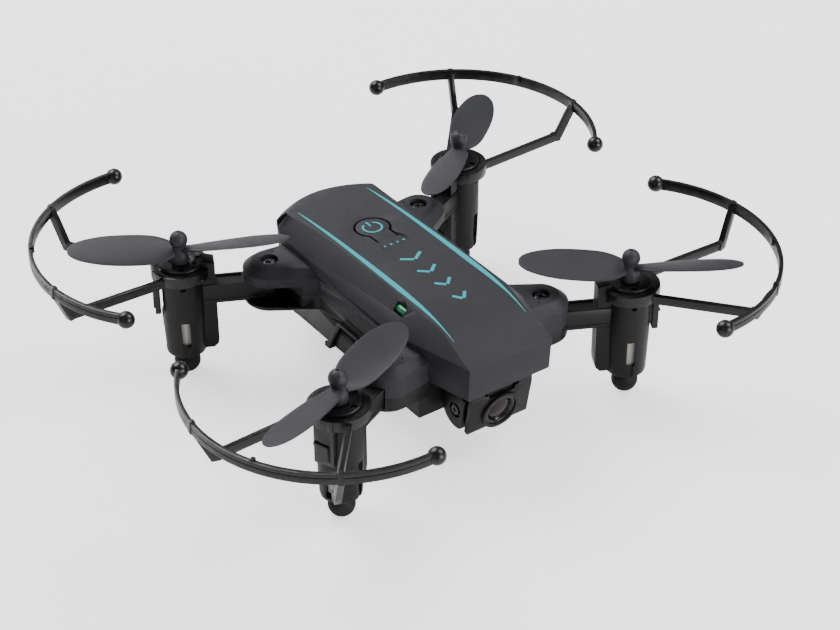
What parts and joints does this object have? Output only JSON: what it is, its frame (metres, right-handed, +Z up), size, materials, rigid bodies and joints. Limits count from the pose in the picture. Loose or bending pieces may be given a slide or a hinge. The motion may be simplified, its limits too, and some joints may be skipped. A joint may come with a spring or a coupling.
{
  "type": "foldable mini quadcopter",
  "caption": "Palm-size folding quadcopter with clip-on propeller guards, swing-in motor arms, tilting nose camera, push power button and hinged battery door.",
  "frame": {"origin": "centre between the motor axes, on the plane the feet rest on", "axes": "+Z up, -Y towards the camera nose, +X towards the side of the battery door's hinge"},
  "size_m": [0.1328, 0.1236, 0.0347],
  "materials": {
    "shell_grey": "fine matte texture with printed turquoise lines",
    "shell_black": "satin moulded",
    "arm_black": "satin moulded",
    "guard_black": "semi-gloss moulded",
    "propeller_grey": "fine matte moulded",
    "foot_rubber": "soft matte",
    "motor_steel": "drawn can",
    "motor_plastic": "moulded",
    "shaft_steel": "ground shaft",
    "screw_steel": "black oxide",
    "lead_wire": "insulated copper wire",
    "battery_foil": "foil pouch",
    "circuit_board": "solder mask",
    "chip_black": "moulded epoxy",
    "ribbon_film": "polyimide film",
    "lens_black": "anodised",
    "lens_glass": "coated glass",
    "led_green": "clear tinted",
    "led_red": "clear tinted"
  },
  "bodies": {
    "airframe": {"upper_shell": "shell_grey", "lower_shell": "shell_black", "battery_pack": "battery_foil", "battery_lead": "lead_wire", "main_board": "circuit_board", "board_chips": "chip_black", "power_switch": "chip_black", "led_front": "led_green", "led_rear": "led_red", "antenna_wire": "lead_wire", "camera_ribbon": "ribbon_film", "body_screws": "screw_steel", "hinge_screws": "screw_steel", "camera_pivot_screws": "screw_steel", "door_hinge_pin": "screw_steel"},
    "battery_door": {"battery_door": "shell_black"},
    "power_button": {"power_button": "shell_grey"},
    "camera_pod": {"camera_housing": "shell_black", "camera_back_cover": "shell_black", "lens_barrel": "lens_black", "lens_glass": "lens_glass", "camera_sensor_board": "circuit_board"},
    "arm_front_left": {"arm_front_left": "arm_black", "motor_can_front_left": "motor_steel", "motor_endcap_front_left": "motor_plastic", "motor_cap_front_left": "motor_plastic", "motor_leads_front_left": "lead_wire", "foot_front_left": "foot_rubber", "guard_front_left": "guard_black"},
    "rotor_front_left": {"propeller_front_left": "propeller_grey", "motor_shaft_front_left": "shaft_steel"},
    "arm_front_right": {"arm_front_right": "arm_black", "motor_can_front_right": "motor_steel", "motor_endcap_front_right": "motor_plastic", "motor_cap_front_right": "motor_plastic", "motor_leads_front_right": "lead_wire", "foot_front_right": "foot_rubber", "guard_front_right": "guard_black"},
    "rotor_front_right": {"propeller_front_right": "propeller_grey", "motor_shaft_front_right": "shaft_steel"},
    "arm_rear_left": {"arm_rear_left": "arm_black", "motor_can_rear_left": "motor_steel", "motor_endcap_rear_left": "motor_plastic", "motor_cap_rear_left": "motor_plastic", "motor_leads_rear_left": "lead_wire", "foot_rear_left": "foot_rubber", "guard_rear_left": "guard_black"},
    "rotor_rear_left": {"propeller_rear_left": "propeller_grey", "motor_shaft_rear_left": "shaft_steel"},
    "arm_rear_right": {"arm_rear_right": "arm_black", "motor_can_rear_right": "motor_steel", "motor_endcap_rear_right": "motor_plastic", "motor_cap_rear_right": "motor_plastic", "motor_leads_rear_right": "lead_wire", "foot_rear_right": "foot_rubber", "guard_rear_right": "guard_black"},
    "rotor_rear_right": {"propeller_rear_right": "propeller_grey", "motor_shaft_rear_right": "shaft_steel"}
  },
  "joints": [
    {"name": "arm_fold_front_left", "type": "hinge", "parent": "airframe", "child": "arm_front_left", "pos_m": [-0.0191, -0.0217, 0.02], "axis": [0, 0, 1], "range_deg": [-30, 0]},
    {"name": "arm_fold_front_right", "type": "hinge", "parent": "airframe", "child": "arm_front_right", "pos_m": [0.0191, -0.0217, 0.02], "axis": [0, 0, 1], "range_deg": [0, 30]},
    {"name": "arm_fold_rear_left", "type": "hinge", "parent": "airframe", "child": "arm_rear_left", "pos_m": [-0.0191, 0.0217, 0.02], "axis": [0, 0, 1], "range_deg": [0, 30]},
    {"name": "arm_fold_rear_right", "type": "hinge", "parent": "airframe", "child": "arm_rear_right", "pos_m": [0.0191, 0.0217, 0.02], "axis": [0, 0, 1], "range_deg": [-30, 0]},
    {"name": "propeller_spin_front_left", "type": "hinge", "parent": "arm_front_left", "child": "rotor_front_left", "pos_m": [-0.03572, -0.02987, 0.03], "axis": [0, 0, 1], "continuous": true},
    {"name": "propeller_spin_front_right", "type": "hinge", "parent": "arm_front_right", "child": "rotor_front_right", "pos_m": [0.03572, -0.02987, 0.03], "axis": [0, 0, 1], "continuous": true},
    {"name": "propeller_spin_rear_left", "type": "hinge", "parent": "arm_rear_left", "child": "rotor_rear_left", "pos_m": [-0.03572, 0.02987, 0.03], "axis": [0, 0, 1], "continuous": true},
    {"name": "propeller_spin_rear_right", "type": "hinge", "parent": "arm_rear_right", "child": "rotor_rear_right", "pos_m": [0.03572, 0.02987, 0.03], "axis": [0, 0, 1], "continuous": true},
    {"name": "camera_tilt", "type": "hinge", "parent": "airframe", "child": "camera_pod", "pos_m": [0, -0.0285, 0.0122], "axis": [1, 0, 0], "range_deg": [-11, 34]},
    {"name": "power_press", "type": "hinge", "parent": "airframe", "child": "power_button", "pos_m": [0, 0.00532, 0.031], "axis": [1, 0, 0], "range_deg": [-4, 0]},
    {"name": "door_swing", "type": "hinge", "parent": "airframe", "child": "battery_door", "pos_m": [0.0103, 0.004, 0.0102], "axis": [0, -1, 0], "range_deg": [0, 65]}
  ]
}
